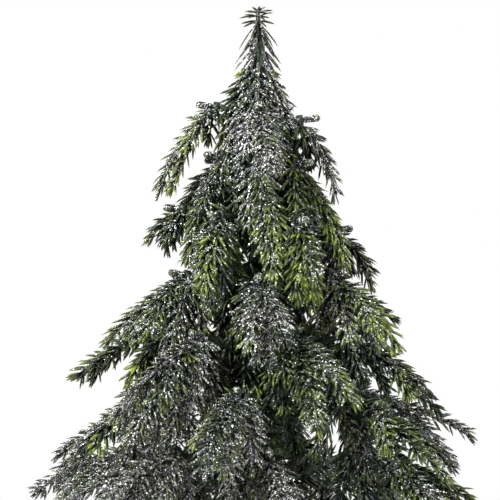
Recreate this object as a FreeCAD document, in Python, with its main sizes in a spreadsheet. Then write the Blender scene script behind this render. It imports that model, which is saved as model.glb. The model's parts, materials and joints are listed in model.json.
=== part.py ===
"""Artificial tabletop tree: a weighted cloth-wrapped base, a steel rod with moulded stem sections,
and drooping foliage sprays, each snapped over a barbed peg on which it can swivel a little.

Frame: millimetres, +Z up, origin at the centre of the base pad's lower face, -Y is the front.
"""

import FreeCAD, Part
import math
import os
import re
import Sketcher
from FreeCAD import Placement, Rotation, Vector

doc = FreeCAD.newDocument("TabletopTree")

# ---------------------------------------------------------------------------------------------
# Driving dimensions (millimetres and degrees)
# ---------------------------------------------------------------------------------------------

DIMENSIONS = {
    # base
    "pad_radius": 37.0, "pad_thickness": 2.0,
    "cloth_thickness": 1.2, "cloth_gap": 0.4, "glue_gap": 0.05,
    "plug_foot_radius": 34.0, "plug_foot_rise": 8.0, "plug_radius": 39.5, "plug_wall_top": 27.0,
    "plug_crown_radius": 20.0, "plug_height": 42.0, "rod_seat": 8.0,
    "gather_radius": 9.5, "gather_bottom": 53.0, "gather_top": 60.0,
    "ruffle_radius": 17.0, "ruffle_top": 69.0,
    "twine_radius": 1.0, "twine_pitch": 1.85, "twine_margin": 0.3, "bore_overrun": 1.0,
    # trunk
    "rod_radius": 1.5, "rod_top": 341.0, "tape_radius": 4.2,
    "stem_bottom": 84.0, "stem_lower_top": 146.0, "stem_middle_top": 243.0, "stem_top": 338.0,
    "stem_lower_radius": 4.0, "stem_middle_radius": 3.6, "stem_upper_radius": 3.0,
    # arm, stop, pin and barbed head that carry a spray
    "arm_radius": 1.2, "arm_root": 0.7, "arm_stagger": 1.6,
    "stop_radius": 1.75, "stop_length": 1.5, "pin_radius": 1.1, "pin_length": 8.0,
    "head_radius": 1.75, "head_length": 2.6, "head_tip_radius": 1.0,
    # ring collar of a spray
    "collar_bore": 1.16, "collar_radius": 2.5, "collar_length": 3.0, "collar_play": 0.2,
    # foliage mouldings
    "needle_length": 10.5, "needle_pitch": 5.2, "needle_lift": 1.4,
    "needle_root_share": 1.1, "needle_end_share": 0.75, "needle_tip_share": 0.8,
    "needle_root_splay": 52.0, "needle_end_splay": 38.0,
    "rachis_width": 1.7, "rachis_depth": 1.4, "rachis_taper": 0.45,
    "frond_arch": 15.0, "frond_steepest": 100.0, "stalk_length": 6.0,
    # crown
    "leader_top": 345.0, "leader_bore": 1.6, "leader_radius": 4.6, "leader_cap_length": 6.0,
    "leader_length": 44.0, "leader_first_slope": 72.0, "leader_last_slope": 84.0,
    "leader_root_depth": 0.6, "leader_root_drop": 4.0, "leader_stalk": 4.0,
    "tuft_seat": 341.2, "tuft_radius": 1.4, "tuft_taper": 0.1, "tuft_needle": 6.4,
    "tuft_needle_taper": 0.09, "tuft_needle_lift": 0.6, "tree_height": 355.0,
}

# Tier: letter, number of sprays, collar height, collar distance from the trunk, upward pitch of
# its arms, azimuth of its first arm, how much higher its left side is than its right, mould
TIERS = [
    ("a", 4, 305.5, 19.0, 8.0, 0.0, 6.0, "crown"),
    ("b", 6, 282.8, 19.0, 2.0, 30.0, 4.0, "weeping"),
    ("c", 6, 257.0, 34.0, 2.0, 0.0, 8.0, "short"),
    ("d", 6, 230.6, 37.0, 10.0, 30.0, 0.0, "medium"),
    ("e", 6, 205.0, 40.0, 16.0, -8.0, 0.0, "long"),
    ("f", 6, 180.0, 47.0, 21.0, 20.0, 0.0, "long"),
    ("g", 7, 153.0, 50.0, 23.0, 172.0, 0.0, "longest"),
    ("h", 8, 121.0, 60.0, 24.0, 0.0, 0.0, "longest"),
]

# Stem section: the tiers whose arms it carries, the ends of its tube, and the tube's radius
STEMS = {
    "stem_lower": ("gh", "stem_bottom", "stem_lower_top", "stem_lower_radius"),
    "stem_middle": ("def", "stem_lower_top", "stem_middle_top", "stem_middle_radius"),
    "stem_upper": ("abc", "stem_middle_top", "stem_top", "stem_upper_radius"),
}

# Mould: length of its middle frond, droop of that frond below the peg's axis, and its fronds as
# (yaw from the peg's axis, share of the length, extra droop)
FAN = [(0, 1.0, 0), (27, 0.9, 2), (-27, 0.9, 2), (52, 0.72, 4), (-52, 0.72, 4)]
UNDER = [(16, 0.4, 20), (-16, 0.4, 20)]
INNER = [(180, 0.45, -8)]
MOULDS = {
    "crown": (46.0, 60.0, FAN),
    "weeping": (38.0, 68.0, [(0, 1.0, 0), (22, 0.7, -5), (-22, 0.7, -5)]),
    "short": (35.0, 54.0, FAN),
    "medium": (46.0, 52.0, FAN + UNDER),
    "long": (56.0, 52.0, FAN + UNDER + INNER),
    "longest": (62.0, 52.0, FAN + UNDER + INNER),
}
ROOT_SPREAD = 1.5
SHORT_NEEDLES = 0.3
COLLAR_SIDES = 12
LEADER_FRONDS = 4
TUFT_LAYERS = 3
TUFT_SIDES = 6

sheet = doc.addObject("Spreadsheet::Sheet", "Dimensions")


def fill_sheet():
    """Put every driving dimension, then each tier's and each mould's, in the sheet."""
    cells = dict(DIMENSIONS)
    for letter, _, height, reach, pitch, _, rise, _ in TIERS:
        cells[f"tier_{letter}_height"] = height
        cells[f"tier_{letter}_reach"] = reach
        cells[f"tier_{letter}_pitch"] = pitch
        cells[f"tier_{letter}_rise"] = rise
    for mould, (length, droop, _) in MOULDS.items():
        cells[f"{mould}_length"] = length
        cells[f"{mould}_droop"] = droop
    for row, (alias, value) in enumerate(cells.items(), start=1):
        sheet.set(f"A{row}", alias)
        sheet.set(f"B{row}", str(value))
        sheet.setAlias(f"B{row}", alias)
    doc.recompute()


fill_sheet()


def in_sheet(expression):
    """An expression of plain aliases, written as FreeCAD reads it from another object."""
    return re.sub(r"[a-z]+_[a-z_]+", lambda word: f"Dimensions.{word.group()}", expression)


def size(expression):
    """The number that an expression of aliases gives."""
    return float(sheet.evalExpression(in_sheet(expression)))


def bind(thing, **expressions):
    """Bind properties of a document object to expressions of aliases."""
    for name, expression in expressions.items():
        thing.setExpression(name, in_sheet(expression))
    return thing


def primitive(kind, name, placement, **expressions):
    thing = doc.addObject(f"Part::{kind}", name)
    thing.Placement = placement
    return bind(thing, **expressions)


def upright(height):
    """A placement on the tree's axis at the height that an expression gives."""
    return Placement(Vector(0, 0, size(height)), Rotation())


# ---------------------------------------------------------------------------------------------
# Base: felt pad, plaster plug, cloth sack and twine
# ---------------------------------------------------------------------------------------------

def new_body(label, plane_role):
    """A PartDesign body with an empty sketch on one of its origin planes."""
    body = doc.addObject("PartDesign::Body", f"{label}_body")
    body.Label = label
    sketch = body.newObject("Sketcher::SketchObject", f"{label}_sketch")
    plane = next(f for f in body.Origin.OriginFeatures if f.Role == plane_role)
    sketch.AttachmentSupport = [(plane, "")]
    sketch.MapMode = "FlatFace"
    return body, sketch


def turned_body(label, profile):
    """A body turned about Z from a closed run of (radius, height) expressions.

    A radius of None puts that corner on the axis.
    """
    body, sketch = new_body(label, "XZ_Plane")
    corners = [(0.0 if r is None else size(r), size(z)) for r, z in profile]
    lines = len(corners)
    for i in range(lines):
        start, end = corners[i], corners[(i + 1) % lines]
        sketch.addGeometry(Part.LineSegment(Vector(*start, 0), Vector(*end, 0)), False)
    for i in range(lines):
        sketch.addConstraint(Sketcher.Constraint("Coincident", i, 2, (i + 1) % lines, 1))
    for i, ((radius, height), (x, y)) in enumerate(zip(profile, corners)):
        if radius is None:
            sketch.addConstraint(Sketcher.Constraint("PointOnObject", i, 1, -2))
        else:
            held = sketch.addConstraint(Sketcher.Constraint("DistanceX", -1, 1, i, 1, x))
            sketch.setExpression(f"Constraints[{held}]", in_sheet(radius))
        held = sketch.addConstraint(Sketcher.Constraint("DistanceY", -1, 1, i, 1, y))
        sketch.setExpression(f"Constraints[{held}]", in_sheet(height))
    turn = body.newObject("PartDesign::Revolution", f"{label}_turn")
    turn.Profile = sketch
    turn.ReferenceAxis = (sketch, ["V_Axis"])
    turn.Angle = 360.0
    return body


def make_pad():
    """Felt disc under the sack."""
    body, sketch = new_body("base_pad", "XY_Plane")
    sketch.addGeometry(Part.Circle(Vector(), Vector(0, 0, 1), size("pad_radius")), False)
    sketch.addConstraint(Sketcher.Constraint("Coincident", 0, 3, -1, 1))
    held = sketch.addConstraint(Sketcher.Constraint("Radius", 0, size("pad_radius")))
    sketch.setExpression(f"Constraints[{held}]", in_sheet("pad_radius"))
    pad = body.newObject("PartDesign::Pad", "base_pad_thickness")
    pad.Profile = sketch
    bind(pad, Length="pad_thickness")
    return body


FLOOR = "pad_thickness + cloth_thickness + cloth_gap"


def make_plug():
    """Cast plaster weight with a blind hole for the rod."""
    hole = "rod_radius + glue_gap"
    return turned_body("base_plug", [
        (None, FLOOR),
        ("plug_foot_radius", FLOOR),
        ("plug_radius", f"{FLOOR} + plug_foot_rise"),
        ("plug_radius", "plug_wall_top"),
        ("plug_crown_radius", "plug_height"),
        (hole, "plug_height"),
        (hole, "rod_seat"),
        (None, "rod_seat"),
    ])


def make_sack():
    """Cloth wrapped round the plug, gathered at the neck and flared above it."""
    outside = [
        ("plug_foot_radius + cloth_gap + cloth_thickness", "pad_thickness"),
        ("plug_radius + cloth_gap + cloth_thickness", "pad_thickness + plug_foot_rise"),
        ("plug_radius + cloth_gap + cloth_thickness", "plug_wall_top + cloth_thickness"),
        ("plug_crown_radius + cloth_gap + cloth_thickness",
         "plug_height + cloth_gap + cloth_thickness * 2"),
        ("gather_radius", "gather_bottom"),
        ("gather_radius", "gather_top"),
        ("ruffle_radius", "ruffle_top"),
    ]
    inside = [
        ("ruffle_radius - cloth_thickness", "ruffle_top"),
        ("gather_radius - cloth_thickness", "gather_top + cloth_gap"),
        ("gather_radius - cloth_thickness", "gather_bottom - cloth_gap"),
        ("plug_crown_radius + cloth_gap", "plug_height + cloth_gap * 2"),
        ("plug_radius + cloth_gap", "plug_wall_top + cloth_gap"),
        ("plug_radius + cloth_gap", "pad_thickness + plug_foot_rise + cloth_thickness"),
        ("plug_foot_radius + cloth_gap", "pad_thickness + cloth_thickness"),
    ]
    return turned_body("burlap_sack", [(None, "pad_thickness")] + outside + inside
                       + [(None, "pad_thickness + cloth_thickness")])


def make_twine():
    """Three turns of jute twine wound tightly round the neck, joined where they touch."""
    turns = []
    for i in range(3):
        height = f"gather_bottom + twine_margin + twine_radius + twine_pitch * {i}"
        turns.append(primitive("Torus", f"twine_turn_{i}", upright(height),
                               Radius1="gather_radius + twine_radius + glue_gap",
                               Radius2="twine_radius"))
    wound = doc.addObject("Part::MultiFuse", "twine_wound")
    wound.Shapes = turns
    wound.Label = "twine_binding"
    return wound


# ---------------------------------------------------------------------------------------------
# Trunk: rod, tape, and stem sections with their arms
# ---------------------------------------------------------------------------------------------

def make_rod():
    """Steel rod from the plug's seat to the crown."""
    rod = primitive("Cylinder", "rod", upright("rod_seat"),
                    Radius="rod_radius", Height="rod_top - rod_seat")
    rod.Label = "trunk_rod"
    return rod


def tube(label, parts, bottom, top, radius):
    """A tube on the rod between two heights, joined to other parts, with the rod's bore cut."""
    wall = primitive("Cylinder", f"{label}_wall", upright(bottom),
                     Radius=radius, Height=f"{top} - {bottom}")
    whole = wall
    if parts:
        whole = doc.addObject("Part::MultiFuse", f"{label}_whole")
        whole.Shapes = [wall] + parts
    bore = primitive("Cylinder", f"{label}_bore", upright(f"{bottom} - bore_overrun"),
                     Radius="rod_radius + glue_gap",
                     Height=f"{top} - {bottom} + bore_overrun * 2")
    cut = doc.addObject("Part::Cut", f"{label}_cut")
    cut.Base = whole
    cut.Tool = bore
    cut.Label = label
    return cut


def collar_places():
    """Each spray's name, mould and collar placement: X runs out along its peg."""
    places = []
    for letter, count, _, _, _, first, _, mould in TIERS:
        height, reach = size(f"tier_{letter}_height"), size(f"tier_{letter}_reach")
        pitch, rise = size(f"tier_{letter}_pitch"), size(f"tier_{letter}_rise")
        for i in range(count):
            azimuth = first + i * 360.0 / count
            out = math.cos(math.radians(azimuth))
            stagger = size("arm_stagger") * (i % 2)
            centre = Vector(reach * out, reach * math.sin(math.radians(azimuth)),
                            height - rise / 2 * out + stagger)
            turn = Rotation(Vector(0, 0, 1), azimuth) * Rotation(Vector(0, 1, 0), -pitch)
            places.append((f"spray_{letter}{i + 1}", letter, mould, Placement(centre, turn)))
    return places


def along_peg(placement, distance):
    """A placement whose Z runs out along a peg's axis, at a distance from the collar's middle."""
    to_axis = Placement(Vector(distance, 0, 0), Rotation(Vector(0, 1, 0), 90))
    return placement * to_axis


def make_arm(name, letter, placement, stem_radius):
    """An arm from inside the stem's wall to a round stop, then the pin and the barbed head."""
    stop_face = size("collar_length / 2 + collar_play")
    run = f"(tier_{letter}_reach - {stem_radius} + arm_root) / cos(tier_{letter}_pitch * 1 deg)"
    arm = primitive("Cylinder", f"{name}_arm", along_peg(placement, -size(run)),
                    Radius="arm_radius",
                    Height=f"{run} - collar_length / 2 - collar_play - stop_length / 2")
    stop = primitive("Cylinder", f"{name}_stop",
                     along_peg(placement, -stop_face - size("stop_length")),
                     Radius="stop_radius", Height="stop_length")
    pin = primitive("Cylinder", f"{name}_pin",
                    along_peg(placement, -stop_face - size("stop_length / 2")),
                    Radius="pin_radius", Height="pin_length + stop_length / 2")
    head = primitive("Cone", f"{name}_head", along_peg(placement, size("pin_length") - stop_face),
                     Radius1="head_radius", Radius2="head_tip_radius", Height="head_length")
    return [arm, stop, pin, head]


def make_stem(label, places):
    letters, bottom, top, radius = STEMS[label]
    parts = []
    for name, letter, _, placement in places:
        if letter in letters:
            parts += make_arm(name, letter, placement, radius)
    return tube(label, parts, bottom, top, radius)


# ---------------------------------------------------------------------------------------------
# Foliage mouldings: flat-faced fronds with a triangular rachis and pyramid needles
# ---------------------------------------------------------------------------------------------

def face(*corners):
    return Part.Face(Part.makePolygon(list(corners) + [corners[0]]))


def middle_of(corners):
    total = Vector()
    for corner in corners:
        total += corner
    return total / len(corners)


def pyramid(base, tip):
    """The sloping sides of a needle over a ring of base corners."""
    count = len(base)
    return [face(base[i], base[(i + 1) % count], tip) for i in range(count)]


def frond(start, yaw, first_slope, last_slope, length, stalk, mean_needle):
    """A solid frond: an arching triangular rachis with a pair of needles at every step.

    start is on its middle line, yaw turns about Z, and slopes are below the horizontal.
    """
    pitch, taper, lift = size("needle_pitch"), size("rachis_taper"), size("needle_lift")
    root_share, end_share = size("needle_root_share"), size("needle_end_share")
    root_splay, end_splay = size("needle_root_splay"), size("needle_end_splay")
    pairs = max(2, round((length - stalk) / pitch))
    steps = [stalk] + [(length - stalk) / pairs] * pairs
    out = Vector(math.cos(math.radians(yaw)), math.sin(math.radians(yaw)), 0)
    side = Vector(-out.y, out.x, 0)
    rings, forward, centre, gone = [], [], start, 0.0
    for step in [0.0] + steps:
        slope = math.radians(first_slope + (last_slope - first_slope) * (gone + step / 2) / length)
        ahead = out * math.cos(slope) - Vector(0, 0, math.sin(slope))
        above = out * math.sin(slope) + Vector(0, 0, math.cos(slope))
        centre = centre + ahead * step
        gone += step
        half = size("rachis_width / 2") * (1 - taper * gone / length)
        rise = size("rachis_depth / 2") * (1 - taper * gone / length)
        rings.append((centre + above * rise, centre - above * rise + side * half,
                      centre - above * rise - side * half))
        forward.append((ahead, above))
    faces = [face(*rings[0])]
    for i, (back, front) in enumerate(zip(rings, rings[1:])):
        (ridge, left, right), (next_ridge, next_left, next_right) = back, front
        faces.append(face(left, right, next_right, next_left))
        ahead, above = forward[i + 1]
        if i == 0:
            faces += [face(ridge, left, next_left), face(ridge, next_left, next_ridge),
                      face(ridge, next_ridge, next_right), face(ridge, next_right, right)]
            continue
        share = i / (len(rings) - 1)
        reach = mean_needle * (root_share + (end_share - root_share) * share)
        splay = math.radians(root_splay + (end_splay - root_splay) * share)
        onward, sideways = ahead * math.cos(splay), side * math.sin(splay)
        foot = (ridge, left, next_left, next_ridge)
        faces += pyramid(foot, middle_of(foot) + (onward + sideways) * reach + above * lift)
        foot = (ridge, next_ridge, next_right, right)
        faces += pyramid(foot, middle_of(foot) + (onward - sideways) * reach + above * lift)
    last_needle = forward[-1][0] * mean_needle * size("needle_tip_share")
    faces += pyramid(rings[-1], middle_of(rings[-1]) + last_needle)
    return closed(faces)


def closed(faces):
    """A solid from faces that close, the right way out."""
    shell = Part.Shell(faces)
    shell.sewShape()
    solid = Part.Solid(shell)
    if solid.Volume < 0:
        solid.reverse()
    return solid


def ring_collar(bore, radius, length, sides, axis):
    """A flat-sided ring about an axis, centred on the origin. The bore's flats touch its radius."""
    def disc(across_flats):
        corner = across_flats / math.cos(math.pi / sides)
        return face(*[Vector(corner * math.cos(2 * math.pi * i / sides),
                             corner * math.sin(2 * math.pi * i / sides), -length / 2)
                      for i in range(sides)])

    ring = disc(radius).cut(disc(bore)).extrude(Vector(0, 0, length))
    ring.Placement = Placement(Vector(), Rotation(Vector(0, 0, 1), axis))
    return ring


def spray_shape(mould):
    """One spray moulding about its collar: the collar's axis is X and the fronds hang below.

    A frond's root is further round the collar than its yaw, so that the roots stand apart.
    A shorter frond has shorter needles.
    """
    length, droop = size(f"{mould}_length"), size(f"{mould}_droop")
    arch, bore, outer = size("frond_arch"), size("collar_bore"), size("collar_radius")
    wall = (bore + outer) / 2
    shape = ring_collar(bore, outer, size("collar_length"), COLLAR_SIDES, Vector(1, 0, 0))
    fronds = []
    for yaw, share, extra in MOULDS[mould][2]:
        around = math.radians(yaw * ROOT_SPREAD if abs(yaw) < 90 else 0)
        start = Vector(0, wall * math.sin(around), -wall * math.cos(around))
        middle = droop + extra
        last_slope = min(middle + arch, size("frond_steepest"))
        needle = size("needle_length") * (1 - SHORT_NEEDLES * (1 - share))
        fronds.append(frond(start, yaw, middle - arch, last_slope, length * share,
                            size("stalk_length"), needle))
    return shape.multiFuse(fronds)


def solid_of(shape):
    """The single solid of a fused shape."""
    if len(shape.Solids) != 1:
        raise RuntimeError(f"a moulding came out as {len(shape.Solids)} solids")
    return shape.Solids[0]


def add_moulding(label, shape, placement):
    moulding = doc.addObject("Part::Feature", label)
    moulding.Label = label
    moulding.Shape = shape
    moulding.Placement = placement
    return moulding


def make_sprays(places):
    """Every spray, copied from its mould and placed on its peg."""
    moulds = {mould: solid_of(spray_shape(mould)) for mould in MOULDS}
    return [add_moulding(name, moulds[mould], placement)
            for name, _, mould, placement in places]


def make_leader():
    """Cap on the rod's top with fronds that hang closely round the stem."""
    top, length = size("leader_top"), size("leader_length")
    cap = ring_collar(size("leader_bore"), size("leader_radius"), size("leader_cap_length"),
                      COLLAR_SIDES, Vector(0, 0, 1))
    cap.translate(Vector(0, 0, top - size("leader_cap_length") / 2))
    fronds = []
    for i in range(LEADER_FRONDS):
        azimuth = (i + 0.5) * 360 / LEADER_FRONDS
        out = Vector(math.cos(math.radians(azimuth)), math.sin(math.radians(azimuth)), 0)
        start = out * size("leader_radius - leader_root_depth")
        start.z = top - size("leader_root_drop")
        fronds.append(frond(start, azimuth, size("leader_first_slope"), size("leader_last_slope"),
                            length, size("leader_stalk"), size("needle_length")))
    return add_moulding("leader_spray", solid_of(cap.multiFuse(fronds)), Placement())


def make_tuft():
    """The short top moulding: a stalk seated in the cap, rings of small needles and a tip."""
    bottom, top = size("leader_top"), size("tree_height")
    step = (top - bottom) / (2 * TUFT_LAYERS + 1)
    radius, lift = size("tuft_radius"), Vector(0, 0, size("tuft_needle_lift"))

    def ring(height, shrink):
        return [Vector(radius * shrink * math.cos(2 * math.pi * i / TUFT_SIDES),
                       radius * shrink * math.sin(2 * math.pi * i / TUFT_SIDES), height)
                for i in range(TUFT_SIDES)]

    rings = [ring(size("tuft_seat"), 1.0)]
    rings += [ring(bottom + step * i, 1 - size("tuft_taper") * i)
              for i in range(2 * TUFT_LAYERS + 1)]
    faces = [face(*rings[0])]
    for layer, (low, high) in enumerate(zip(rings, rings[1:])):
        for i in range(TUFT_SIDES):
            j = (i + 1) % TUFT_SIDES
            corners = (low[i], low[j], high[j], high[i])
            if layer % 2 == 0:
                faces += [face(low[i], low[j], high[j]), face(low[i], high[j], high[i])]
                continue
            middle = middle_of(corners)
            out = Vector(middle.x, middle.y, 0).normalize()
            reach = size("tuft_needle") * (1 - size("tuft_needle_taper") * layer)
            faces += pyramid(corners, middle + out * reach + lift)
    faces += pyramid(rings[-1], Vector(0, 0, top))
    return add_moulding("top_tuft", closed(faces), Placement())


# ---------------------------------------------------------------------------------------------
# The whole tree
# ---------------------------------------------------------------------------------------------

def make_tree():
    places = collar_places()
    parts = [make_pad(), make_plug(), make_sack(), make_twine(), make_rod()]
    parts.append(tube("trunk_tape", [], "plug_height", "stem_bottom", "tape_radius"))
    parts += [make_stem(label, places) for label in STEMS]
    parts += make_sprays(places)
    parts += [make_leader(), make_tuft()]
    doc.recompute()
    return parts


def check(parts):
    """Stop if any object failed or any sub-part's shape isn't one to keep."""
    failed = [thing.Label for thing in doc.Objects
              if {"Invalid", "Error"} & set(thing.State)]
    bad = [part.Label for part in parts if part.Shape.isNull() or not part.Shape.isValid()
           or not part.Shape.Solids]
    if failed or bad:
        raise RuntimeError(f"failed objects {failed}, bad shapes {bad}")


def write(parts):
    os.makedirs("parts", exist_ok=True)
    for part in parts:
        part.Shape.exportStep(f"parts/{part.Label}.step")
        print(f"{part.Label:14} solids {len(part.Shape.Solids)} faces {len(part.Shape.Faces):4}"
              f" volume {part.Shape.Volume:10.1f} mm3")


tree = make_tree()
check(tree)
write(tree)
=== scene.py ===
"""Artificial tabletop tree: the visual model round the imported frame, its studio and its camera."""
import json
import math
import bpy
import numpy as np
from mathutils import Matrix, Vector


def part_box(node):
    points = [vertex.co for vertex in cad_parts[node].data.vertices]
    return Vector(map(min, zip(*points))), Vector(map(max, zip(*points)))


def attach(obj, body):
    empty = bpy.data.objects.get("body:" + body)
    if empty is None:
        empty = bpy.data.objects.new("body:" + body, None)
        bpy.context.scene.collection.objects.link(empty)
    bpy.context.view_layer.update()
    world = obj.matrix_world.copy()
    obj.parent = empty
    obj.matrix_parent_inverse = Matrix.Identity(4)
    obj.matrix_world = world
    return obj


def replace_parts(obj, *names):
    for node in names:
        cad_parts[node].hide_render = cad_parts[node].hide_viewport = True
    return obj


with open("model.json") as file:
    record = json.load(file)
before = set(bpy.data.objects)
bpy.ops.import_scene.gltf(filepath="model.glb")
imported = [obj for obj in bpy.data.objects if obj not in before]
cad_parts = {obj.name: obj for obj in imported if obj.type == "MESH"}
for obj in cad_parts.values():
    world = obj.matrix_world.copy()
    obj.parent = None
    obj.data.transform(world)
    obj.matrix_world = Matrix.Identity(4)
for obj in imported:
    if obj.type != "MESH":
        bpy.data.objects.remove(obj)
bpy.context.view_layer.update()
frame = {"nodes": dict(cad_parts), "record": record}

MM = 0.001
TRUNK = "trunk"
TREE_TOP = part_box("top_tuft")[1].z / MM
LEADER_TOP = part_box("leader_spray")[1].z / MM
UP = np.array([0.0, 0.0, 1.0])

# ---------------------------------------------------------------------------------------------
# Camera, lights and floor
# ---------------------------------------------------------------------------------------------

CAMERA_DISTANCE = 1.2
FIELD = 0.2273            # height and width of what the camera sees at the trunk
FRAME_TOP_GAP = 0.0023    # white above the tip
TRUNK_TO_RIGHT = 0.0037   # how far right of the picture's middle the trunk stands
SENSOR = 36.0
LIT_STRENGTH = 0.05       # how brightly the surround lights the tree
FLOOR_RADIUS = 0.9
LIT_PLACE = (0, 0, 0.2)   # what the lights point at
# each light's name, place, diameter and power
LIGHTS = (("key", (-0.75, -1.1, 1.0), 0.4, 50), ("fill", (1.2, -0.9, 0.5), 0.6, 10),
          ("top", (0.1, -0.3, 1.5), 0.8, 10), ("rim_left", (-1.0, 0.8, 0.6), 0.8, 8),
          ("rim_right", (1.0, 0.9, 0.5), 0.8, 10))


def add_camera():
    data = bpy.data.cameras.new("camera")
    data.sensor_width = SENSOR
    data.lens = SENSOR * CAMERA_DISTANCE / FIELD
    camera = bpy.data.objects.new("camera", data)
    height = TREE_TOP * MM + FRAME_TOP_GAP - FIELD / 2
    camera.location = (-TRUNK_TO_RIGHT, -CAMERA_DISTANCE, height)
    camera.rotation_euler = (math.radians(90), 0, 0)
    bpy.context.scene.collection.objects.link(camera)
    bpy.context.scene.camera = camera


def add_area_light(name, place, size, power):
    data = bpy.data.lights.new(name, "AREA")
    data.shape = "DISK"
    data.size = size
    data.energy = power
    light = bpy.data.objects.new(name, data)
    light.location = place
    aim = Vector(LIT_PLACE) - Vector(place)
    light.rotation_euler = aim.to_track_quat("-Z", "Y").to_euler()
    bpy.context.scene.collection.objects.link(light)


def add_world():
    """White behind the tree, and a dimmer graded surround that lights it."""
    world = bpy.data.worlds.new("studio")
    world.use_nodes = True
    nodes, links = world.node_tree.nodes, world.node_tree.links
    nodes.clear()
    out = nodes.new("ShaderNodeOutputWorld")
    mix = nodes.new("ShaderNodeMixShader")
    seen, lit = nodes.new("ShaderNodeBackground"), nodes.new("ShaderNodeBackground")
    path = nodes.new("ShaderNodeLightPath")
    place = nodes.new("ShaderNodeTexCoord")
    split = nodes.new("ShaderNodeSeparateXYZ")
    ramp = two_tone(nodes, (0.30, 0.95), (0.10, 0.10, 0.10), (1, 1, 1))
    seen.inputs["Color"].default_value = (1, 1, 1, 1)
    seen.inputs["Strength"].default_value = 1.0
    lit.inputs["Strength"].default_value = LIT_STRENGTH
    links.new(place.outputs["Generated"], split.inputs[0])
    links.new(fitted(nodes, links, split.outputs["Z"], (-1.0, 1.0), (0.0, 1.0)),
              ramp.inputs["Fac"])
    links.new(ramp.outputs["Color"], lit.inputs["Color"])
    links.new(path.outputs["Is Camera Ray"], mix.inputs["Fac"])
    links.new(lit.outputs[0], mix.inputs[1])
    links.new(seen.outputs[0], mix.inputs[2])
    links.new(mix.outputs[0], out.inputs["Surface"])
    bpy.context.scene.world = world


def add_floor():
    bpy.ops.mesh.primitive_circle_add(vertices=96, radius=FLOOR_RADIUS, fill_type="NGON")
    floor = bpy.context.object
    floor.name = "floor"
    floor.data.materials.append(plain("pale_floor", (0.86, 0.86, 0.85), 0.7))


def add_studio():
    bpy.context.scene.view_settings.view_transform = "Standard"
    add_camera()
    add_world()
    add_floor()
    for name, place, size, power in LIGHTS:
        add_area_light(name, place, size, power)


# ---------------------------------------------------------------------------------------------
# Materials
# ---------------------------------------------------------------------------------------------

GRAINS_PER_METRE = 1900.0  # fine glitter, too small for flakes of its own
WEAVE_SCALE = 240.0


def plain(name, colour, roughness, metallic=0.0):
    material = bpy.data.materials.new(name)
    material.use_nodes = True
    shader = material.node_tree.nodes["Principled BSDF"]
    shader.inputs["Base Color"].default_value = (*colour, 1)
    shader.inputs["Roughness"].default_value = roughness
    shader.inputs["Metallic"].default_value = metallic
    return material


def two_tone(nodes, places, dark, light):
    """A colour ramp from dark at the first place to light at the second."""
    ramp = nodes.new("ShaderNodeValToRGB")
    for element, place, colour in zip(ramp.color_ramp.elements, places, (dark, light)):
        element.position = place
        element.color = (*colour, 1)
    return ramp


def fitted(nodes, links, value, source, target):
    """A value carried from the source range to the target range."""
    spread = nodes.new("ShaderNodeMapRange")
    for name, number in zip(("From Min", "From Max", "To Min", "To Max"), source + target):
        spread.inputs[name].default_value = number
    links.new(value, spread.inputs["Value"])
    return spread.outputs["Result"]


def noise_over(nodes, links, place, scale, detail=2.0):
    """Noise at a scale over the given coordinates."""
    noise = nodes.new("ShaderNodeTexNoise")
    noise.inputs["Scale"].default_value = scale
    noise.inputs["Detail"].default_value = detail
    links.new(place, noise.inputs["Vector"])
    return noise.outputs["Fac"]


def combined(nodes, links, operation, first, second):
    """Two values, or a value and a number, put together by a math operation."""
    math_node = nodes.new("ShaderNodeMath")
    math_node.operation = operation
    links.new(first, math_node.inputs[0])
    if isinstance(second, float):
        math_node.inputs[1].default_value = second
    else:
        links.new(second, math_node.inputs[1])
    return math_node.outputs[0]


def roughen(nodes, links, shader, height, strength, distance):
    """Fine relief on a surface."""
    lump = nodes.new("ShaderNodeBump")
    lump.inputs["Strength"].default_value = strength
    lump.inputs["Distance"].default_value = distance
    links.new(height, lump.inputs["Height"])
    links.new(lump.outputs["Normal"], shader.inputs["Normal"])


def mottled(name, dark, light, roughness, scale, bump=0.2):
    """A material whose colour and surface vary with noise over the object."""
    material = plain(name, light, roughness)
    nodes, links = material.node_tree.nodes, material.node_tree.links
    shader = nodes["Principled BSDF"]
    place = nodes.new("ShaderNodeTexCoord").outputs["Object"]
    ramp = two_tone(nodes, (0.32, 0.68), dark, light)
    links.new(noise_over(nodes, links, place, scale, 4.0), ramp.inputs["Fac"])
    links.new(ramp.outputs["Color"], shader.inputs["Base Color"])
    roughen(nodes, links, shader, noise_over(nodes, links, place, scale * 4), bump, 0.0004)
    return material


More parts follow.
